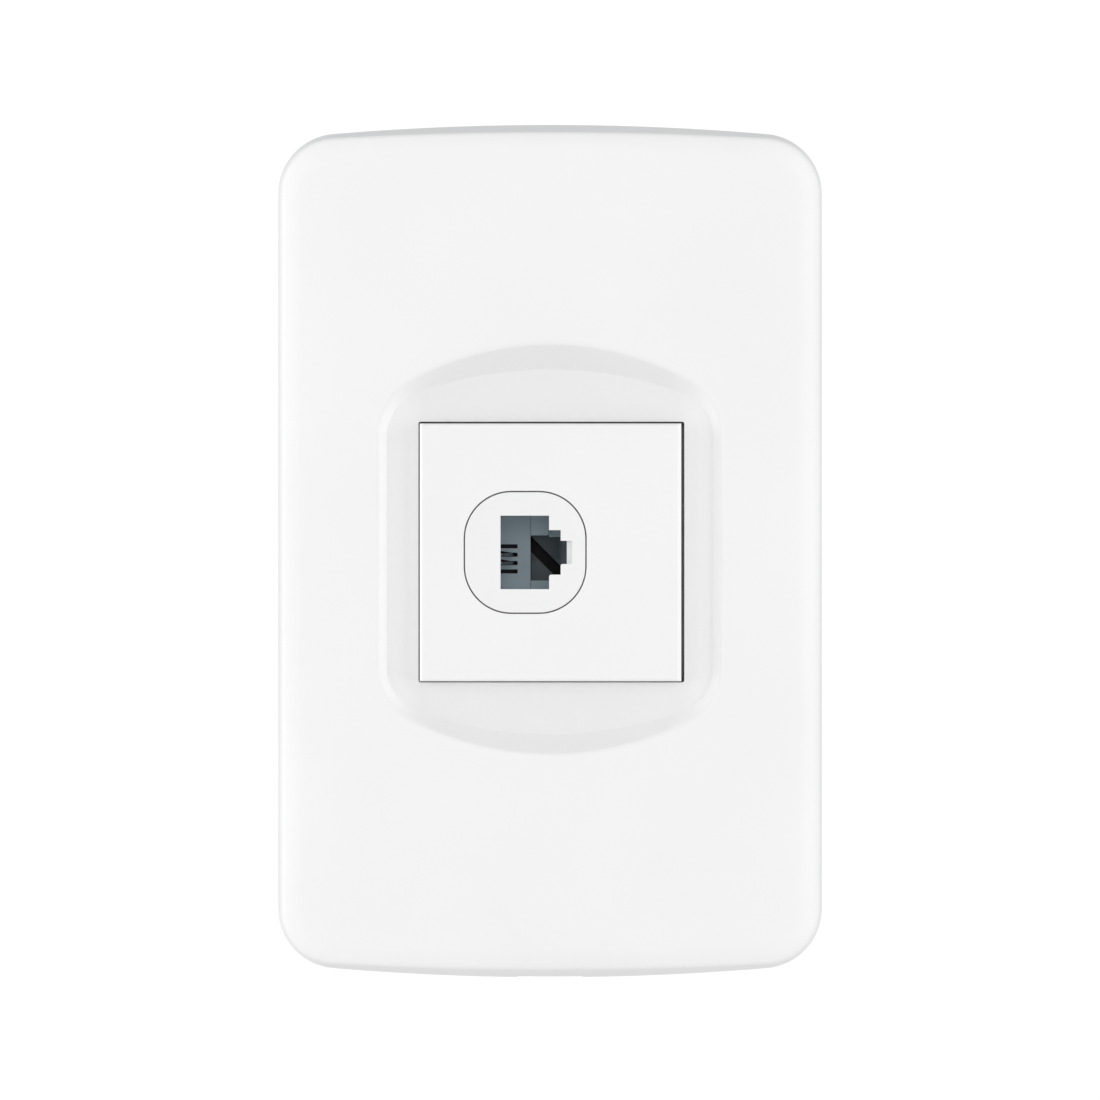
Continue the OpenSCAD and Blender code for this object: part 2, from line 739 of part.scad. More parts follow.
module terminal_plate(x) {
    color(BRASS) on_wall() at_module() translate([x, 0, 0]) difference() {
        union() {
            box_span(-plate_side / 2, plate_side / 2, terminal_y - plate_side / 2,
                     terminal_y + plate_side / 2 - 1, terminal_back - plate_t, terminal_back);
            box_span(-1.8, 1.8, terminal_y, eye_y + eye_r + 0.6,
                     terminal_back - plate_t, terminal_back);
        }
        translate([0, terminal_y, terminal_back - 2])
            cylinder(r = terminal_screw_d / 2 + 0.2, h = 4);
        translate([0, eye_y, terminal_back - 2]) cylinder(r = eye_r, h = 4);
    }
}

module clamp_washer(x) {
    color(ZINC) on_wall() at_module()
        translate([x, terminal_y, terminal_back - plate_t - washer_t]) difference() {
            between(0, washer_t) round_square(clamp_w, clamp_w, 0.8);
            translate([0, 0, -1]) cylinder(r = terminal_screw_d / 2 + 0.2, h = 4);
        }
}

// Pan-head screw, its head at z = 0 and above, its thread below a thinner neck
module pan_screw(d, length, head_r, head_h, neck_d, neck_len) {
    difference() {
        union() {
            rotate_extrude() intersection() {
                square([head_r, head_h]);
                translate([0, head_h - 3 * head_r]) circle(3 * head_r);
            }
            translate([0, 0, -neck_len - eps]) cylinder(d = neck_d, h = neck_len + 2 * eps);
            translate([0, 0, -length + d / 4]) cylinder(d = d, h = length - d / 4 - neck_len);
            translate([0, 0, -length]) cylinder(d1 = d / 2, d2 = d, h = d / 4 + eps);
        }
        for (turn = [0, 90])
            rotate([0, 0, turn])
                box_span(-head_r * 0.55, head_r * 0.55, -d * 0.13, d * 0.13, head_h * 0.35, head_h + 1);
    }
}

module terminal_screw(x) {
    seat = terminal_back - plate_t - washer_t;
    color(ZINC) on_wall() at_module() translate([x, terminal_y, seat]) rotate([180, 0, 0])
        pan_screw(terminal_screw_d, terminal_screw_len, terminal_screw_d * 0.95,
                  terminal_head_h, terminal_screw_d * 0.85, plate_t + washer_t);
}

module box_screw(side) {
    color(STEEL) on_wall() translate([0, side * box_screw_span / 2, frame_top])
        pan_screw(box_screw_d, box_screw_len, box_screw_d, box_head_h, box_neck_d, frame_top);
}

module screw_keeper(side) {
    color(NYLON) on_wall() translate([0, side * box_screw_span / 2, keeper_seat - keeper_t])
        difference() {
            cylinder(r = keeper_r, h = keeper_t);
            translate([0, 0, -1]) cylinder(d = box_neck_d + 2 * slide_gap, h = 3);
        }
}

cover_plate();
support_frame();
module_face();
module_housing();
jack_bezel();
jack_body();
contact_comb();
jack_rear_cap();
contact_wire(wire_ys[0]);  // contact_wire_upper
contact_wire(wire_ys[1]);  // contact_wire_lower
lead_right();
lead_left();
terminal_plate(terminal_xs[0]);  // terminal_plate_left
terminal_plate(terminal_xs[1]);  // terminal_plate_right
clamp_washer(terminal_xs[0]);  // clamp_washer_left
clamp_washer(terminal_xs[1]);  // clamp_washer_right
terminal_screw(terminal_xs[0]);  // terminal_screw_left
terminal_screw(terminal_xs[1]);  // terminal_screw_right
box_screw(1);  // box_screw_upper
box_screw(-1);  // box_screw_lower
screw_keeper(1);  // screw_keeper_upper
screw_keeper(-1);  // screw_keeper_lower
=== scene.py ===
"""Looks of the flush telephone wall socket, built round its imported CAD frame.

Shapes are in millimetres and measured as in the part's source: x to the right, y up and z
off the wall. world() turns such points into the row frame in metres, whose y runs into the
wall and whose z runs up. The finishes' places, the lights, the floor and the camera are
given in the row frame.
"""

import json
import math

import bmesh
import bpy
import numpy as np
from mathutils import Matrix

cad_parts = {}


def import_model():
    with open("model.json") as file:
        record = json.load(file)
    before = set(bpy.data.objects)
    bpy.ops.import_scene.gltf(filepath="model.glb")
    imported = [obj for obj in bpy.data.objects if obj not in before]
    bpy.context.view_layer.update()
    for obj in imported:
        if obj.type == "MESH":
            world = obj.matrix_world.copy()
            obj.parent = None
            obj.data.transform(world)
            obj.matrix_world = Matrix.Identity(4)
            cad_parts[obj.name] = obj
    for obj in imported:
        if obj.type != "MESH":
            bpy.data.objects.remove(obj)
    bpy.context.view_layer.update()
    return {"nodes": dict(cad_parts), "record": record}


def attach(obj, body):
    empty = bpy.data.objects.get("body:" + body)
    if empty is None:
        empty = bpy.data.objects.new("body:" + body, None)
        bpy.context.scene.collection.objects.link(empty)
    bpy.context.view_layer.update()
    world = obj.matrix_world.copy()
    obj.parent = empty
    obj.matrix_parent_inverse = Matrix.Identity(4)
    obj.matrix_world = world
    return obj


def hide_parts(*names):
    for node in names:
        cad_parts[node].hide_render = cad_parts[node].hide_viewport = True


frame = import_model()

# Front plate, as in the part's source, but for the window's edges, which follow the photo's gap
PLATE_W, PLATE_H, PLATE_RISE = 75.3, 118.0, 10.0
ARCH_R, CORNER_R, EDGE_BOW_R = 120.0, 8.3, 358.0
WALL_DRAFT, EDGE_R, ROLL_R, ROLL_ANGLE = 7.0, 1.0, 7.0, 20.0
PLATE_WALL = 2.0
LENS_W, LENS_H, LENS_BOW_R, LENS_CORNER_R = 45.1, 50.4, 54.0, 6.5
LENS_FLOOR, LENS_SLOPE, LENS_WALL = 6.5, 48.0, 1.8
LENS_LEAN, LENS_DROP = 6.0, 0.1
WINDOW_RIGHT, WINDOW_DROP, WINDOW_W, WINDOW_H, WINDOW_R = 0.20, 0.13, 36.72, 36.01, 0.3
COLLAR_WALL, COLLAR_R, COLLAR_FOOT = 1.2, 0.8, 3.6
PRY_W, PRY_H, PRY_MARGIN = 9.0, 1.0, 1.0
RIM_SOFT, RIM_ROUNDS = 0.55, 12

# Ribs: places, lower edge, half length, thickness at foot and root, how far let into the front
RIB_Y, RIB_FOOT, RIB_REACH = 33.475, 4.2, 29.9
RIB_FOOT_T, RIB_ROOT_T, RIB_SUNK, RIB_LEAST, RIB_STEPS = 1.0, 1.4, 0.3, 0.05, 60

# Hooks: place, size, nose with its shoulder and bevel, thicker root let into the front
HOOK_X, HOOK_Y, HOOK_W, HOOK_T, HOOK_NOSE = 20.0, 51.45, 7.0, 1.5, 0.9
HOOK_FOOT, HOOK_SHOULDER, HOOK_LIP = 0.3, 1.3, 0.3
HOOK_SUNK, HOOK_ROOT_H, HOOK_ROOT_OUT = 0.4, 1.6, 0.6

# Points on a quarter of each ring: along the side, round the corner, along the bow
SIDE_N, CORNER_N, BOW_N = 44, 16, 30

# Rings of the plate's skin: over its edge and roll, on its front, round the lens, underneath
EDGE_RINGS, ROLL_RINGS, UNDER_EDGE_RINGS = 8, 8, 3
FRONT_RINGS, RIM_RINGS, RIM_ON_FRONT = 36, 7, 4
LENS_WALL_RINGS, FLOOR_RINGS, UNDER_RINGS = 3, 5, 16

# Material slots of the plate
FACE_SLOT, FLOOR_SLOT, WALL_SLOT, COLLAR_SLOT = range(4)

# Screws: outer and core radius of the thread, pitch, neck radius, head radius and height
BOX_SCREW = dict(outer=1.75, core=1.4, pitch=0.6, neck=1.35, neck_len=3.2, length=25.0,
                 head_r=3.5, head_h=2.3)
TERMINAL_SCREW = dict(outer=1.5, core=1.2, pitch=0.5, neck=1.275, neck_len=1.7, length=7.4,
                      head_r=2.85, head_h=2.0)
BOX_SCREW_Y, FRAME_TOP = 41.75, 3.2
MODULE_X, MODULE_Y = 0.07, -0.18
TERMINAL_X, TERMINAL_Y, TERMINAL_SEAT = 7.5, -8.0, -17.7

# Thread: points and rings per turn, ridge profile, run-out at both ends, tip
THREAD_N, THREAD_PER_TURN = 36, 8
RIDGE_TOP, RIDGE_FALL = 1.25, 3.2
RUN_OUT, TIP_RIDGE, TIP_WIDTH = 0.7, 0.25, 0.72

# Screw head: dome radius by head radius, its points, bevels of rim and seat, neck in the thread
DOME_SHARE, DOME_TIP, DOME_EDGE, HEAD_N, DOME_RINGS = 3, 0.05, 0.4, 64, 9
RIM_BEVEL, SEAT_RISE, SEAT_NECK = 0.12, 0.14, 0.08
RIM_LOW, RIM_HIGH, NECK_SUNK = 0.35, 0.08, 0.2

# Cross recess: length by head radius, width by thread radius, floor by head height, draft
CROSS_LONG, CROSS_WIDE, CROSS_FLOOR, CROSS_OVER = 0.55, 0.24, 0.35, 0.5
CROSS_AT_FLOOR, CROSS_AT_TOP, CROSS_END_DRAFT = 0.62, 1.08, 0.45

# Leads: radius, where they leave the jack, level at which they turn, eye of the terminal plates
LEAD_R, LEAD_X, CAP_BACK, LEAD_LEVEL = 0.5, -8.1, -8.8, -11.6
WIRE_YS, EYE_Y, CHANNEL_Z, LEAD_END = (-0.32, -1.48), -2.2, -13.5, -17.4
RIGHT_STUB, LEFT_STUB, LEAD_BEND, LEAD_LIFT = 1.2, 2.2, 1.6, 1
CHANNEL_ABOVE, CHANNEL_BELOW = 1.2, 0.1
LEAD_N, LEAD_CUTS, CUT_SHARE = 20, 4, 0.25

# Angles in degrees up to which edges look smooth, and the least one that is eased
PLATE_SMOOTH, SCREW_SMOOTH, LEAD_SMOOTH, EASE_FROM = 28.0, 40.0, 50.0, 40.0

# Widths of the narrow rounding on the CAD nodes, and how it is done
EASED = {"support_frame": 0.2, "module_face": 0.06, "module_housing": 0.18, "jack_bezel": 0.06,
         "jack_body": 0.06, "jack_rear_cap": 0.12, "terminal_plate_left": 0.08,
         "terminal_plate_right": 0.08, "clamp_washer_left": 0.1, "clamp_washer_right": 0.1,
         "screw_keeper_upper": 0.1, "screw_keeper_lower": 0.1}
EASE_SEGMENTS, EASE_WEIGHT = 2, 60

# Distances in metres within which points are one, in the meshes built here and in the CAD ones
SAME_POINT, SAME_CAD_POINT = 1e-7, 1e-6

# Camera, standing off far enough to look almost straight on
VIEW_WIDTH = 0.1523
CAMERA_DISTANCE, CAMERA_RISE = 3.0, 0.00015
SENSOR_MM = 36.0
CLIP_NEAR, CLIP_FAR = 0.05, 20.0

# Room: power in front and behind, high and low, the bands over which they pass into each other
FRONT_HIGH, FRONT_LOW = 0.665, 0.71
REAR_HIGH, REAR_LOW = 0.517, 0.789
UP_BAND, AHEAD_BAND = 0.5, 0.3
HIGH_TINT = (0.965, 0.985, 1.0, 1.0)
CLEAR = (1.0, 1.0, 1.0, 1.0)
BACKDROP_POWER = 1.05

# Lights: name, place, width and height, power
LIGHTS = (
    ("softbox_left", (-1.3, -0.9, 0.1), (0.9, 1.3), 3.4),
    ("softbox_right", (1.3, -0.9, 0.1), (0.9, 1.3), 5.9),
    ("edge_left", (-1.6, -0.2, 0.1), (0.6, 1.3), 6.6),
    ("edge_right", (1.6, -0.2, 0.1), (0.6, 1.3), 1.6),
    ("camera_right", (0.68, -3.2, 0.0), (0.6, 0.9), 2.9),
    ("camera_high", (0.0, -3.2, 0.68), (0.9, 0.6), 4.9),
)

FLOOR_R, FLOOR_LEVEL, FLOOR_N = 1.6, -0.12, 96

# Colour sockets of a mix node
MIX_A, MIX_B, MIX_OUT = 6, 7, 2

# Noise: the range that is used, scales of tone and gloss, spread of the gloss
NOISE_LOW, NOISE_HIGH = 0.3, 0.7
TONE_SCALE, SMUDGE_SCALE, GLOSS_SPREAD = 45.0, 315.0, 0.04


def radians(degrees):
    return degrees * math.pi / 180.0


# Outlines and rings


def front_z(x):
    return PLATE_RISE - ARCH_R + np.sqrt(ARCH_R ** 2 - x ** 2)


def bowed_quarter(half_w, half_h, bow_r, round_r, inset):
    """From the middle of the right side, round the corner, to the middle of the top."""
    cx = half_w - round_r
    cy = half_h - bow_r + math.sqrt((bow_r - round_r) ** 2 - cx ** 2)
    tilt = math.asin(cx / (bow_r - round_r))
    side = [(half_w - inset, cy * i / SIDE_N) for i in range(SIDE_N)]
    t = np.linspace(0.0, math.pi / 2 - tilt, CORNER_N + 1)
    corner = np.stack([cx + (round_r - inset) * np.cos(t), cy + (round_r - inset) * np.sin(t)], 1)
    t = np.linspace(tilt, 0.0, BOW_N + 1)[1:]
    bow = np.stack([(bow_r - inset) * np.sin(t), half_h - bow_r + (bow_r - inset) * np.cos(t)], 1)
    return np.concatenate([np.array(side), corner, bow])


def square_quarter(half_w, half_h, round_r):
    """The same walk round a rectangle, with as many points."""
    cx, cy = half_w - round_r, half_h - round_r
    side = [(half_w, cy * i / SIDE_N) for i in range(SIDE_N)]
    t = np.linspace(0.0, math.pi / 2, CORNER_N + 1)
    corner = np.stack([cx + round_r * np.cos(t), cy + round_r * np.sin(t)], 1)
    top = [(cx * (1 - i / BOW_N), half_h) for i in range(1, BOW_N + 1)]
    return np.concatenate([np.array(side), corner, np.array(top)])


def mirrored_loop(q):
    """Closed loop, anticlockwise, from the quarter that starts on the x axis."""
    flip_x, flip_y = np.array([-1.0, 1.0]), np.array([1.0, -1.0])
    return np.concatenate([q, (q[:-1] * flip_x)[::-1], (q[1:] * -1.0), (q[1:-1] * flip_y)[::-1]])


def plate_loop(inset):
    return mirrored_loop(bowed_quarter(PLATE_W / 2, PLATE_H / 2, EDGE_BOW_R, CORNER_R, inset))


def lens_loop(inset):
    return mirrored_loop(bowed_quarter(LENS_W / 2, LENS_H / 2, LENS_BOW_R, LENS_CORNER_R, inset))


def window_loop(margin, round_r):
    loop = mirrored_loop(square_quarter(WINDOW_W / 2 + margin, WINDOW_H / 2 + margin, round_r))
    return loop + np.array([WINDOW_RIGHT, -WINDOW_DROP])


def at_height(loop, z):
    return np.column_stack([loop, np.broadcast_to(z, len(loop))])


def lens_foot(margin, z):
    """Foot of the lens wall's surface that stands margin outside the floor, at height z."""
    lean = (z - LENS_FLOOR) * math.tan(radians(LENS_LEAN)) - LENS_DROP
    return at_height(lens_loop(-margin) + np.array([0.0, lean]), z)


ROLL_RUN = (ROLL_R * math.sin(radians(ROLL_ANGLE))
            + EDGE_R * (math.cos(radians(WALL_DRAFT)) - math.sin(radians(ROLL_ANGLE))))
ROLL_DROP = (ROLL_R * (1 - math.cos(radians(ROLL_ANGLE)))
             + EDGE_R * (math.cos(radians(ROLL_ANGLE)) - math.sin(radians(WALL_DRAFT))))


def edge_steps(edge_n, roll_n):
    """Run from the roll's inner end, and drop, over the plate's edge from the side wall in."""
    steps = []
    for s in np.linspace(90.0 - WALL_DRAFT, ROLL_ANGLE, edge_n, endpoint=False):
        steps.append((ROLL_R * math.sin(radians(ROLL_ANGLE))
                      + EDGE_R * (math.sin(radians(s)) - math.sin(radians(ROLL_ANGLE))),
                      ROLL_R * (1 - math.cos(radians(ROLL_ANGLE)))
                      + EDGE_R * (math.cos(radians(ROLL_ANGLE)) - math.cos(radians(s)))))
    for s in np.linspace(ROLL_ANGLE, 0.0, roll_n + 1):
        steps.append((ROLL_R * math.sin(radians(s)), ROLL_R * (1 - math.cos(radians(s)))))
    return steps


def plate_ring(step, sink):
    base, one = plate_loop(0.0), plate_loop(1.0)
    wall_in = (front_z(base[:, 0]) - ROLL_DROP) * math.tan(radians(WALL_DRAFT))
    inward = (wall_in + ROLL_RUN - step[0] + sink)[:, None]
    p = base + (one - base) * inward
    return at_height(p, front_z(p[:, 0]) - step[1] - sink)


def foot_ring(z, sink):
    return at_height(plate_loop(sink + z * math.tan(radians(WALL_DRAFT))), z)


def between_rings(a, b, n):
    """n rings between two, without the ends."""
    return [a + (b - a) * t for t in np.linspace(0.0, 1.0, n + 2)[1:-1]]


def on_front(ring, sink):
    """The ring lifted on to the arch, sink below it."""
    return at_height(ring[:, :2], front_z(ring[:, 0]) - sink)


def lens_rim(foot, sink):
    """Where the lens wall that starts at a foot ring meets the arch."""
    away = (lens_loop(-1.0) - lens_loop(0.0)) / math.tan(radians(LENS_SLOPE))
    away = away + np.array([0.0, math.tan(radians(LENS_LEAN))])
    p = foot[:, :2].copy()
    for _ in range(RIM_ROUNDS):
        rise = front_z(p[:, 0]) - sink - foot[:, 2]
        p = foot[:, :2] + away * rise[:, None]
    return at_height(p, front_z(p[:, 0]) - sink)


def softened(outer, corner, inner, reach, n):
    """Rings round the edge at corner, from reach out towards outer to reach in towards inner."""
    def off(other):
        d = other - corner
        return corner + d / np.linalg.norm(d, axis=1)[:, None] * reach
    a, c = off(outer), off(inner)
    return [(1 - t) ** 2 * a + 2 * t * (1 - t) * corner + t * t * c for t in np.linspace(0, 1, n)]


# Meshes


def world(points):
    points = np.asarray(points, float)
    return np.stack([points[:, 0], -points[:, 2], points[:, 1]], 1) / 1000.0


def add_mesh(name, points, faces, slots=None):
    mesh = bpy.data.meshes.new(name)
    mesh.from_pydata(world(points).tolist(), [], faces)
    if slots is not None:
        mesh.polygons.foreach_set("material_index", slots)
    obj = bpy.data.objects.new(name, mesh)
    bpy.context.scene.collection.objects.link(obj)
    return obj


def face_outwards(obj):
    bm = bmesh.new()
    bm.from_mesh(obj.data)
    bmesh.ops.remove_doubles(bm, verts=bm.verts, dist=SAME_POINT)
    bmesh.ops.recalc_face_normals(bm, faces=bm.faces)
    bm.to_mesh(obj.data)
    bm.free()


def smooth_by_angle(obj, degrees):
    obj.data.shade_smooth()
    obj.data.set_sharp_from_angle(angle=radians(degrees))


def closed_rings(name, rings, slots):
    """Rings of equally many points skinned in turn, the last one to the first."""
    n = len(rings[0])
    faces, indices = [], []
    for k in range(len(rings)):
        here, there = k * n, ((k + 1) % len(rings)) * n
        for i in range(n):
            j = (i + 1) % n
            faces.append((here + i, here + j, there + j, there + i))
            indices.append(slots[k])
    return add_mesh(name, np.concatenate(rings), faces, indices)


def prism(name, profiles):
    """Closed body through equal polygons in turn, its first and last ones filled."""
    n = len(profiles[0])
    faces = [tuple(range(n)), tuple(range((len(profiles) - 1) * n, len(profiles) * n))]
    for k in range(len(profiles) - 1):
        for i in range(n):
            j = (i + 1) % n
            faces.append((k * n + i, k * n + j, (k + 1) * n + j, (k + 1) * n + i))
    return add_mesh(name, np.concatenate(profiles), faces)


def bake(obj):
    depsgraph = bpy.context.evaluated_depsgraph_get()
    mesh = bpy.data.meshes.new_from_object(obj.evaluated_get(depsgraph))
    obj.modifiers.clear()
    obj.data = mesh


def cut(obj, tool):
    """obj without the tool's room, as plain mesh."""
    modifier = obj.modifiers.new("cut", "BOOLEAN")
    modifier.operation = "DIFFERENCE"
    modifier.solver = "EXACT"
    modifier.object = tool
    bake(obj)
    bpy.data.objects.remove(tool)


def join_into(obj, others):
    with bpy.context.temp_override(active_object=obj, selected_editable_objects=[obj] + others):
        bpy.ops.object.join()


def full_turn(n):
    return np.linspace(0.0, 2 * math.pi, n, endpoint=False)


def round_ring(r, turn, z):
    return np.stack([r * np.cos(turn), r * np.sin(turn), np.full(len(turn), z)], 1)


# The front plate


def plate_shell():
    """The front plate's outside, lens, window collar and underside as one closed skin."""
    rings, slots = [], []

    def add(new, slot):
        rings.extend(new)
        slots.extend([slot] * len(new))

    outer = [plate_ring(s, 0.0) for s in edge_steps(EDGE_RINGS, ROLL_RINGS)]
    add([foot_ring(0.0, 0.0)] + outer, FACE_SLOT)
    floor = lens_foot(0.0, LENS_FLOOR)
    rim = lens_rim(floor, 0.0)
    front = [on_front(r, 0.0) for r in between_rings(outer[-1], rim, FRONT_RINGS)]
    soft = softened(front[-1], rim, floor, RIM_SOFT, RIM_RINGS)
    add(front[:-1] + soft[:RIM_ON_FRONT], FACE_SLOT)
    add(soft[RIM_ON_FRONT:] + between_rings(soft[-1], floor, LENS_WALL_RINGS), WALL_SLOT)
    window = at_height(window_loop(0.0, WINDOW_R), LENS_FLOOR)
    add([floor] + between_rings(floor, window, FLOOR_RINGS), FLOOR_SLOT)
    add([window], COLLAR_SLOT)
    add([at_height(window_loop(0.0, WINDOW_R), COLLAR_FOOT)], FACE_SLOT)
    collar = window_loop(COLLAR_WALL, COLLAR_R)
    under = LENS_FLOOR - LENS_WALL
    add([at_height(collar, COLLAR_FOOT), at_height(collar, under)], FACE_SLOT)
    back_floor = lens_foot(LENS_WALL / math.tan(radians(LENS_SLOPE)), under)
    back_rim = lens_rim(back_floor, PLATE_WALL)
    add([back_floor, back_rim], FACE_SLOT)
    back_steps = reversed(edge_steps(UNDER_EDGE_RINGS, UNDER_EDGE_RINGS))
    inner = [plate_ring(s, PLATE_WALL) for s in back_steps]
    back = between_rings(back_rim, inner[0], UNDER_RINGS)
    add([on_front(r, PLATE_WALL) for r in back] + inner, FACE_SLOT)
    add([foot_ring(0.0, PLATE_WALL)], FACE_SLOT)
    return closed_rings("front_plate", rings, slots)


def pry_notch():
    """Tool for the notch in the plate's lower edge."""
    low = -PLATE_H / 2 - PRY_MARGIN
    high = -PLATE_H / 2 + PLATE_WALL + PRY_MARGIN
    ends = [np.array([(x, low, -PRY_MARGIN), (x, high, -PRY_MARGIN), (x, high, PRY_H),
                      (x, low, PRY_H)]) for x in (-PRY_W / 2, PRY_W / 2)]
    return prism("notch", ends)


def plate_rib(name, y):
    """Stiffening rib under the front, following the arch."""
    foot_half, root_half = RIB_FOOT_T / 2, RIB_ROOT_T / 2
    profiles = []
    for x in np.linspace(-RIB_REACH, RIB_REACH, RIB_STEPS):
        top = float(front_z(np.array(x))) - PLATE_WALL + RIB_SUNK
        foot = min(RIB_FOOT, top - RIB_LEAST)
        profiles.append(np.array([(x, y - foot_half, foot), (x, y + foot_half, foot),
                                  (x, y + root_half, top), (x, y - root_half, top)]))
    return prism(name, profiles)


def plate_hook(name, x, side):
    """Arm down from the front, with the nose that catches under the support frame."""
    root = float(front_z(np.array(HOOK_X + HOOK_W / 2))) - PLATE_WALL + HOOK_SUNK
    near, far = HOOK_Y - HOOK_T / 2, HOOK_Y + HOOK_T / 2
    nose = far + HOOK_NOSE
    outline = [(near, HOOK_FOOT), (far, HOOK_FOOT), (nose, HOOK_SHOULDER - HOOK_LIP),
               (nose, HOOK_SHOULDER), (far, HOOK_SHOULDER), (far, root - HOOK_ROOT_H),
               (far + HOOK_ROOT_OUT, root), (near - HOOK_ROOT_OUT, root),
               (near, root - HOOK_ROOT_H)]
    ends = []
    for dx in (-HOOK_W / 2, HOOK_W / 2):
        ends.append(np.array([(x + dx, side * y, z) for y, z in outline]))
    return prism(name, ends)


def build_plate(materials):
    """The plate with its materials in their slots, since a cut needs them there."""
    plate = plate_shell()
    for material in materials:
        plate.data.materials.append(material)
    face_outwards(plate)
    tool = pry_notch()
    extras = [plate_rib("rib", y) for y in (-RIB_Y, RIB_Y)]
    extras += [plate_hook("hook", x, side) for x in (-HOOK_X, HOOK_X) for side in (-1, 1)]
    for obj in [tool] + extras:
        obj.data.materials.append(materials[FACE_SLOT])
        face_outwards(obj)
    cut(plate, tool)
    join_into(plate, extras)
    smooth_by_angle(plate, PLATE_SMOOTH)
    return plate


# Screws


def thread(name, outer, core, pitch, top, length):
    """Body with a helical ridge between the core and the outer radius, tapered at its tip."""
    turn = full_turn(THREAD_N)
    rings = []
    for z in np.linspace(top, -length, int((length + top) / pitch * THREAD_PER_TURN) + 1):
        phase = (z / pitch + turn / (2 * math.pi)) % 1.0
        ridge = np.clip(RIDGE_TOP - np.abs(phase - 0.5) * RIDGE_FALL, 0.0, 1.0)
        from_tip = (z + length) / (outer * RUN_OUT)
        from_top = (top - z) / (pitch * RUN_OUT)
        fade = min(1.0, from_tip * (1.0 - TIP_RIDGE) + TIP_RIDGE, from_top)
        ridge *= max(0.0, fade)
        shrink = min(1.0, TIP_WIDTH + (1.0 - TIP_WIDTH) * from_tip)
        rings.append(round_ring((core + (outer - core) * ridge) * shrink, turn, z))
    return prism(name, rings)


def screw_head(name, head_r, head_h, outer, neck, neck_len):
    """Domed pan head with a cross recess and a rounded rim, over a plain neck."""
    ball = DOME_SHARE * head_r

    def dome_z(r):
        return head_h - ball + math.sqrt(ball ** 2 - r ** 2)

    profile = [(neck, -neck_len - NECK_SUNK), (neck, -SEAT_NECK), (head_r - RIM_BEVEL, 0.0),
               (head_r, SEAT_RISE), (head_r, dome_z(head_r) - RIM_LOW),
               (head_r - RIM_BEVEL, dome_z(head_r) - RIM_HIGH)]
    profile += [(r, dome_z(r)) for r in np.linspace(head_r - DOME_EDGE, DOME_TIP, DOME_RINGS)]
    turn = full_turn(HEAD_N)
    head = prism(name, [round_ring(r, turn, z) for r, z in profile])
    face_outwards(head)
    cut(head, cross_tool(head_r * CROSS_LONG, outer * CROSS_WIDE, head_h * CROSS_FLOOR, head_h))
    return head


def cross_tool(long, wide, floor, top):
    """Tool for the cross recess, narrower at its floor."""
    levels = []
    for z, share in ((floor, CROSS_AT_FLOOR), (top + CROSS_OVER, CROSS_AT_TOP)):
        end, half = long * (1.0 - CROSS_END_DRAFT + CROSS_END_DRAFT * share), wide * share
        arm = [(end, -half), (end, half), (half, half)]
        outline = (arm + [(-y, x) for x, y in arm] + [(-x, -y) for x, y in arm]
                   + [(y, -x) for x, y in arm])
        levels.append(np.array([(x, y, z) for x, y in outline]))
    tool = prism("cross", levels)
    face_outwards(tool)
    return tool


def move(obj, turn_x, offset):
    """Turn the vertices about x by half turns, then shift them by millimetres."""
    shift = world([offset])[0]
    c, s = round(math.cos(radians(turn_x))), round(math.sin(radians(turn_x)))
    for v in obj.data.vertices:
        x, y, z = v.co
        v.co = (x + shift[0], c * y - s * z + shift[1], s * y + c * z + shift[2])


def build_screw(name, spec, turn_x, offset):
    head = screw_head(name, spec["head_r"], spec["head_h"], spec["outer"], spec["neck"],
                      spec["neck_len"])
    ridge = thread("thread", spec["outer"], spec["core"], spec["pitch"], -spec["neck_len"],
                   spec["length"])
    face_outwards(ridge)
    join_into(head, [ridge])
    move(head, turn_x, offset)
    smooth_by_angle(head, SCREW_SMOOTH)
    return head


# Leads


def softened_path(corners, times):
    """Corners cut again and again, the ends kept."""
    path = [np.array(c, float) for c in corners]
    for _ in range(times):
        new = [path[0]]
        for a, b in zip(path[:-1], path[1:]):
            new += [a * (1.0 - CUT_SHARE) + b * CUT_SHARE, a * CUT_SHARE + b * (1.0 - CUT_SHARE)]
        path = new + [path[-1]]
    return path


def tube(name, path, radius):
    """Closed tube along a path that never runs along y."""
    turn = full_turn(LEAD_N)[:, None]
    rings = []
    for i, p in enumerate(path):
        ahead = path[min(i + 1, len(path) - 1)] - path[max(i - 1, 0)]
        ahead = ahead / np.linalg.norm(ahead)
        u = np.cross(ahead, (0.0, 1.0, 0.0))
        u /= np.linalg.norm(u)
        v = np.cross(ahead, u)
        rings.append(p + radius * (u * np.cos(turn) + v * np.sin(turn)))
    obj = prism(name, rings)
    face_outwards(obj)
    smooth_by_angle(obj, LEAD_SMOOTH)
    return obj


def build_lead(name, start, terminal_x):
    """From the jack, by the start's corners, through the eye of a terminal plate."""
    corners = start + [(terminal_x, EYE_Y, CHANNEL_Z + CHANNEL_ABOVE),
                       (terminal_x, EYE_Y, CHANNEL_Z - CHANNEL_BELOW),
                       (terminal_x, EYE_Y, LEAD_END)]
    placed = [(x + MODULE_X, y + MODULE_Y, z) for x, y, z in corners]
    return tube(name, softened_path(placed, LEAD_CUTS), LEAD_R)


def build_leads():
    upper, lower = WIRE_YS
    right = [(LEAD_X, upper, CAP_BACK), (LEAD_X, upper, CAP_BACK - RIGHT_STUB),
             (LEAD_X + LEAD_BEND, upper + LEAD_LIFT, LEAD_LEVEL),
             (TERMINAL_X - LEAD_BEND, upper + LEAD_LIFT, LEAD_LEVEL)]
    left = [(LEAD_X, lower, CAP_BACK), (LEAD_X, lower, CAP_BACK - LEFT_STUB)]
    return build_lead("green_lead", right, TERMINAL_X), build_lead("red_lead", left, -TERMINAL_X)


# Materials


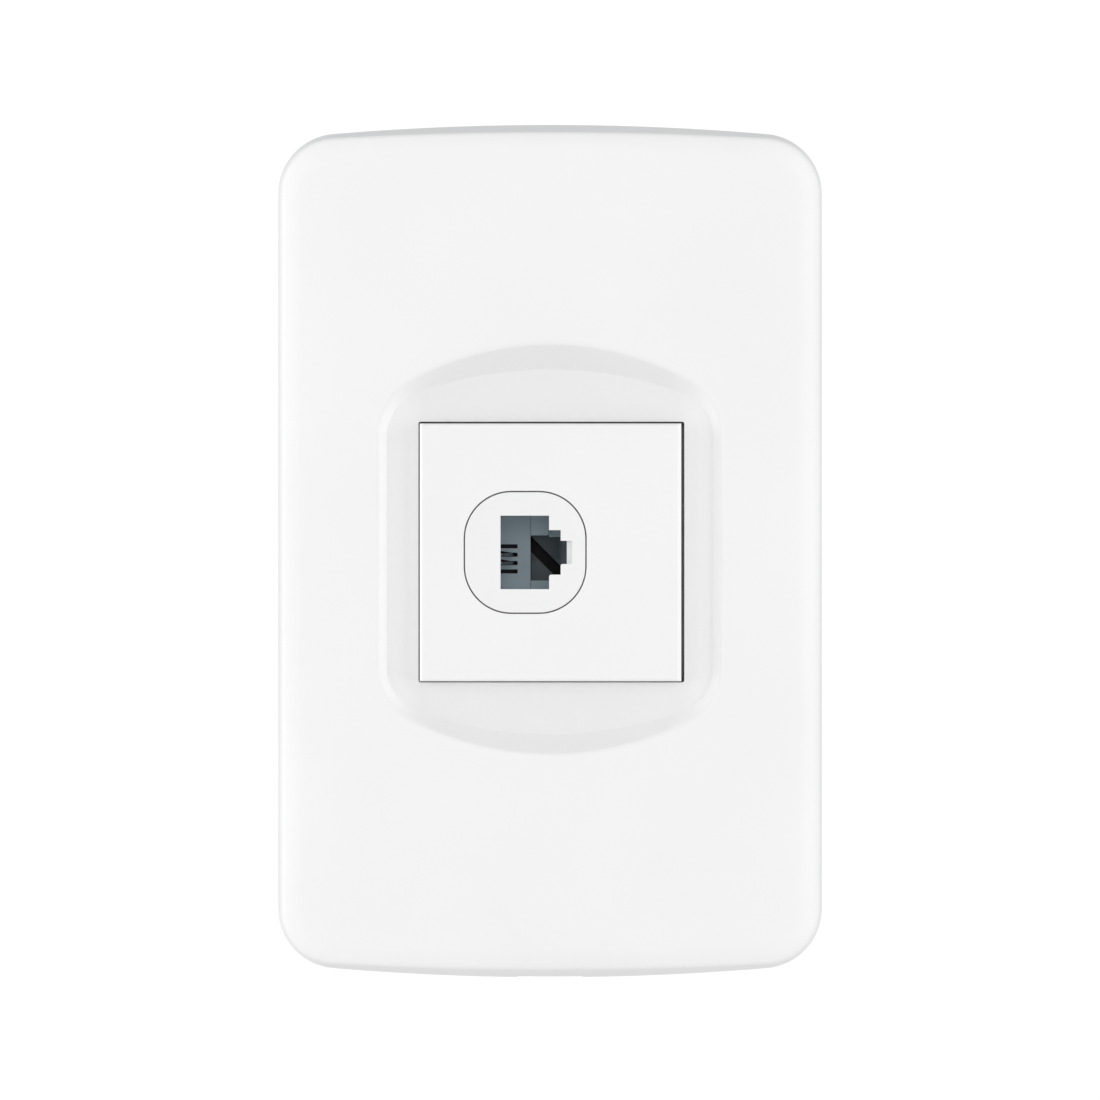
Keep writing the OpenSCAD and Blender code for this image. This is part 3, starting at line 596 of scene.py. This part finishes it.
class Nodes:
    """Short hand for building one material's nodes."""

    def __init__(self, tree):
        self.tree = tree

    def add(self, kind, inputs=None, **settings):
        node = self.tree.nodes.new(kind)
        for key, value in settings.items():
            setattr(node, key, value)
        for key, value in (inputs or {}).items():
            if isinstance(value, bpy.types.NodeSocket):
                self.tree.links.new(value, node.inputs[key])
            else:
                node.inputs[key].default_value = value
        return node

    def noise(self, scale, detail=2.0, rough=0.5):
        where = self.add("ShaderNodeTexCoord").outputs["Object"]
        return self.add("ShaderNodeTexNoise", {"Vector": where, "Scale": scale, "Detail": detail,
                                               "Roughness": rough}).outputs["Fac"]

    def spread(self, value, low, high):
        return self.add("ShaderNodeMapRange", {
            "Value": value, "From Min": NOISE_LOW, "From Max": NOISE_HIGH,
            "To Min": low, "To Max": high}).outputs["Result"]

    def mixed(self, share, first, second):
        return self.add("ShaderNodeMix", {"Factor": share, MIX_A: first, MIX_B: second},
                        data_type="RGBA").outputs[MIX_OUT]


def opaque(color):
    return tuple(color) + (1.0,)


def moulded(name, color, rough, grain, grain_scale, tone=0.02, specular=0.5, metallic=0.0,
            over=()):
    """Finish with a fine grain in the surface and a faint unevenness in tone and gloss.

    Each (axis, start, end, colour, on both sides) of over passes over into a second colour
    between two places along an axis; the finishes here use it to paint in light and shade.
    """
    mat = bpy.data.materials.new(name)
    mat.use_nodes = True
    tree = mat.node_tree
    tree.nodes.clear()
    n = Nodes(tree)
    cloud = n.noise(TONE_SCALE, 3.0)
    dark = opaque(c * (1.0 - tone) for c in color)
    shade = n.mixed(n.spread(cloud, 0.0, 1.0), dark, opaque(color))
    for axis, start, end, second, both in over:
        where = n.add("ShaderNodeTexCoord").outputs["Object"]
        place = n.add("ShaderNodeSeparateXYZ", {0: where}).outputs[axis]
        if both:
            place = n.add("ShaderNodeMath", {0: place}, operation="ABSOLUTE").outputs[0]
        share = n.add("ShaderNodeMapRange", {"Value": place, "From Min": start,
                                             "From Max": end}).outputs["Result"]
        shade = n.mixed(share, shade, opaque(second))
    gloss = n.spread(n.noise(SMUDGE_SCALE), rough - GLOSS_SPREAD, rough + GLOSS_SPREAD)
    fine = n.noise(grain_scale, 3.0, 0.6)
    bump = n.add("ShaderNodeBump", {"Strength": 1.0, "Distance": grain, "Height": fine})
    shader = n.add("ShaderNodeBsdfPrincipled", {
        "Base Color": shade, "Roughness": gloss, "Normal": bump.outputs["Normal"],
        "Metallic": metallic, "Specular IOR Level": specular})
    out = n.add("ShaderNodeOutputMaterial")
    tree.links.new(shader.outputs["BSDF"], out.inputs["Surface"])
    return mat


def set_material(obj, *materials):
    """The object's slots are these materials, whatever it came with."""
    while len(obj.data.materials) < len(materials):
        obj.data.materials.append(None)
    for i, slot in enumerate(obj.material_slots):
        slot.link = "OBJECT"
        slot.material = materials[min(i, len(materials) - 1)]


WHITE = (0.925, 0.925, 0.925)
GREY_MOULD = dict(rough=0.5, grain=4e-6, grain_scale=2500.0)
METAL = dict(grain=4e-6, grain_scale=1500.0, metallic=1.0)
INSULATION = dict(rough=0.42, grain=4e-6, grain_scale=1500.0, tone=0.08)
GLOSSY = dict(grain=2e-6, grain_scale=2500.0)

# Finishes of the record's slots. Painted shade darkens the bezel deeper in its mouth, the comb
# towards its top and deep in its slots, and the cap deep in its groove; painted light lightens
# the comb and the cap towards their bottoms and the cap towards its right.
SLOT_FINISHES = {
    "white_plastic": dict(color=WHITE, rough=0.36, **GLOSSY),
    "bezel_plastic": dict(color=(0.903, 0.905, 0.907), rough=0.34, **GLOSSY,
                          # painted shade: the bezel's white turns darker deeper in its mouth
                          over=[("Y", -0.0087, -0.0083, (0.86, 0.865, 0.87), False)]),
    "frame_plastic": dict(color=(0.76, 0.76, 0.75), rough=0.55, grain=5e-6, grain_scale=1800.0),
    "jack_plastic": dict(color=(0.55, 0.645, 0.695), tone=0.06, **GREY_MOULD),
    "comb_plastic": dict(color=(0.525, 0.62, 0.67), tone=0.05, **GREY_MOULD,
                         # painted shade: darker towards the comb's top
                         over=[("Z", 0.0012, 0.0035, (0.485, 0.573, 0.62), False),
                               # painted light: lighter towards the comb's bottom
                               ("Z", -0.0026, -0.0042, (0.585, 0.69, 0.745), False),
                               # painted shade: almost black deep in the slots
                               ("Y", 0.0034, 0.0037, (0.03, 0.035, 0.038), False)]),
    "cap_plastic": dict(color=(0.135, 0.155, 0.165), tone=0.08, specular=0.2, **GREY_MOULD,
                        # painted light: lighter towards the cap's bottom
                        over=[("Z", -0.0010, -0.0018, (0.175, 0.20, 0.213), False),
                              # painted light: lighter towards the cap's right
                              ("X", 0.0012, 0.0020, (0.29, 0.335, 0.355), False),
                              # painted shade: almost black deep in the groove
                              ("Y", 0.0054, 0.0057, (0.002, 0.002, 0.002), False)]),
    "contact_metal": dict(color=(0.24, 0.245, 0.245), rough=0.38, grain=2e-6,
                          grain_scale=4000.0, tone=0.1, metallic=1.0),
    "brass": dict(color=(0.80, 0.62, 0.30), rough=0.32, tone=0.1, **METAL),
    "zinc_steel": dict(color=(0.66, 0.67, 0.68), rough=0.36, tone=0.08, **METAL),
    "nylon": dict(color=(0.84, 0.83, 0.77), rough=0.45, grain=4e-6, grain_scale=1500.0,
                  tone=0.03),
    "lead_red": dict(color=(0.60, 0.05, 0.04), **INSULATION),
    "lead_green": dict(color=(0.04, 0.32, 0.10), **INSULATION),
}
FINISHES = {name: moulded(name, **finish) for name, finish in SLOT_FINISHES.items()}
# Painted light: the lens floor lightens towards its left and right sides, to offset the shade
# there.
LENS_MATT = moulded("lens_matt", (0.86, 0.86, 0.86), 0.6, 3e-5, 3200.0,
                    over=[("X", 0.0175, 0.0205, (0.91, 0.91, 0.91), True)])
# Painted light: the lens walls lighten at the lens's left and right sides.
LENS_WALL_MATT = moulded("lens_wall_matt", (0.885, 0.885, 0.885), 0.5, 8e-6, 3200.0,
                         over=[("X", 0.016, 0.0225, (0.95, 0.95, 0.95), True)])
# Painted shade: the window collar's inner walls darken at the window's left and right sides, the
# right one almost to black, so the gaps beside the module look dark.
COLLAR_SHADE = moulded("collar_shade", WHITE, 0.4, **GLOSSY,
                       over=[("X", 0.0175, 0.0178, (0.30, 0.30, 0.31), True),
                             ("X", 0.0175, 0.0178, (0.02, 0.02, 0.022), False)])
# Painted shade along the module's top edge, painted highlights along its left and right edges.
MODULE_WHITE = moulded("module_white", WHITE, 0.36, **GLOSSY,
                       over=[("Z", 0.0172, 0.0174, (0.86, 0.86, 0.86), False),
                             ("X", 0.0175, 0.0177, (0.985, 0.985, 0.985), True)])
PLATE_FINISHES = (FINISHES["white_plastic"], LENS_MATT, LENS_WALL_MATT, COLLAR_SHADE)


# Camera, light and floor


def area_light(name, where, size, power):
    data = bpy.data.lights.new(name, "AREA")
    data.shape = "RECTANGLE"
    data.size, data.size_y = size
    data.energy = power
    obj = bpy.data.objects.new(name, data)
    obj.location = where
    to_target = -obj.location
    obj.rotation_euler = to_target.to_track_quat("-Z", "Y").to_euler()
    obj.visible_camera = False
    bpy.context.scene.collection.objects.link(obj)


def build_world():
    """Bright in front of the wall, dimmer behind it, pure white where the camera looks."""
    world_data = bpy.data.worlds.new("room")
    bpy.context.scene.world = world_data
    world_data.use_nodes = True
    tree = world_data.node_tree
    tree.nodes.clear()
    n = Nodes(tree)

    def ranged(value, **limits):
        inputs = {key.replace("_", " "): limit for key, limit in limits.items()}
        return n.add("ShaderNodeMapRange", {"Value": value, **inputs}).outputs["Result"]

    where = n.add("ShaderNodeTexCoord").outputs["Generated"]
    xyz = n.add("ShaderNodeSeparateXYZ", {0: where})
    up = ranged(xyz.outputs["Z"], From_Min=-UP_BAND, From_Max=UP_BAND)
    ahead = ranged(xyz.outputs["Y"], From_Min=AHEAD_BAND, From_Max=-AHEAD_BAND)
    front = ranged(up, To_Min=FRONT_LOW, To_Max=FRONT_HIGH)
    rear = ranged(up, To_Min=REAR_LOW, To_Max=REAR_HIGH)
    power = ranged(ahead, To_Min=rear, To_Max=front)
    behind = n.add("ShaderNodeMath", {0: 1.0, 1: ahead}, operation="SUBTRACT").outputs[0]
    share = n.add("ShaderNodeMath", {0: up, 1: behind}, operation="MULTIPLY").outputs[0]
    tint = n.mixed(share, CLEAR, HIGH_TINT)
    room = n.add("ShaderNodeBackground", {"Color": tint, "Strength": power})
    backdrop = n.add("ShaderNodeBackground", {"Color": CLEAR, "Strength": BACKDROP_POWER})
    seen = n.add("ShaderNodeLightPath").outputs["Is Camera Ray"]
    mix = n.add("ShaderNodeMixShader", {0: seen, 1: room.outputs[0], 2: backdrop.outputs[0]})
    out = n.add("ShaderNodeOutputWorld")
    tree.links.new(mix.outputs[0], out.inputs["Surface"])


def build_floor():
    """Pale disc well under the socket, out of the main view."""
    ring = [(FLOOR_R * math.cos(a), FLOOR_R * math.sin(a), FLOOR_LEVEL)
            for a in full_turn(FLOOR_N)]
    mesh = bpy.data.meshes.new("floor")
    mesh.from_pydata(ring, [], [tuple(range(len(ring)))])
    floor = bpy.data.objects.new("floor", mesh)
    bpy.context.scene.collection.objects.link(floor)
    set_material(floor, moulded("floor_paint", (0.90, 0.90, 0.90), 0.6, 5e-5, 300.0))
    floor.visible_diffuse = floor.visible_glossy = floor.visible_shadow = False


def build_camera():
    data = bpy.data.cameras.new("camera")
    data.sensor_width = SENSOR_MM
    data.lens = SENSOR_MM * CAMERA_DISTANCE / VIEW_WIDTH
    data.clip_start, data.clip_end = CLIP_NEAR, CLIP_FAR
    camera = bpy.data.objects.new("camera", data)
    camera.location = (0.0, -CAMERA_DISTANCE, CAMERA_RISE)
    camera.rotation_euler = (math.pi / 2, 0.0, 0.0)
    bpy.context.scene.collection.objects.link(camera)
    bpy.context.scene.camera = camera


# The object


def dress_cad_nodes():
    """Each CAD node gets the finish that the record names for it, the module a white of its own
    with painted shade along its top edge and painted highlights along its sides.
    """
    slots = {p["node"]: p["material_slot"] for p in frame["record"]["subparts"]}
    for name, obj in frame["nodes"].items():
        set_material(obj, FINISHES[slots[name]])
    set_material(frame["nodes"]["module_face"], MODULE_WHITE)


def ease_cad_edges():
    """Narrow rounding on the edges of the CAD nodes that stay in sight."""
    for name, width in EASED.items():
        obj = frame["nodes"][name]
        weld = obj.modifiers.new("weld", "WELD")
        weld.merge_threshold = SAME_CAD_POINT
        bevel = obj.modifiers.new("ease", "BEVEL")
        bevel.width = width / 1000.0
        bevel.segments = EASE_SEGMENTS
        bevel.limit_method = "ANGLE"
        bevel.angle_limit = radians(EASE_FROM)
        normals = obj.modifiers.new("normals", "WEIGHTED_NORMAL")
        normals.weight = EASE_WEIGHT


def stand_for(obj, node):
    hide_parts(node)
    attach(obj, "root")


def add_screw(node, spec, turn_x, offset):
    """Threaded screw in place of the plain one."""
    screw = build_screw(node + "_threaded", spec, turn_x, offset)
    set_material(screw, FINISHES["zinc_steel"])
    stand_for(screw, node)


def add_screws():
    for side, name in ((1, "upper"), (-1, "lower")):
        add_screw("box_screw_" + name, BOX_SCREW, 0, (0.0, side * BOX_SCREW_Y, FRAME_TOP))
    for side, name in ((-1, "left"), (1, "right")):
        spot = (side * TERMINAL_X + MODULE_X, TERMINAL_Y + MODULE_Y, TERMINAL_SEAT)
        add_screw("terminal_screw_" + name, TERMINAL_SCREW, 180, spot)


def add_leads():
    green, red = build_leads()
    set_material(green, FINISHES["lead_green"])
    stand_for(green, "lead_right")
    set_material(red, FINISHES["lead_red"])
    stand_for(red, "lead_left")


build_world()
build_floor()
build_camera()
for light in LIGHTS:
    area_light(*light)
bpy.context.scene.view_settings.view_transform = "Standard"
dress_cad_nodes()
plate = build_plate(PLATE_FINISHES)
set_material(plate, *PLATE_FINISHES)
stand_for(plate, "cover_plate")
add_screws()
add_leads()
ease_cad_edges()
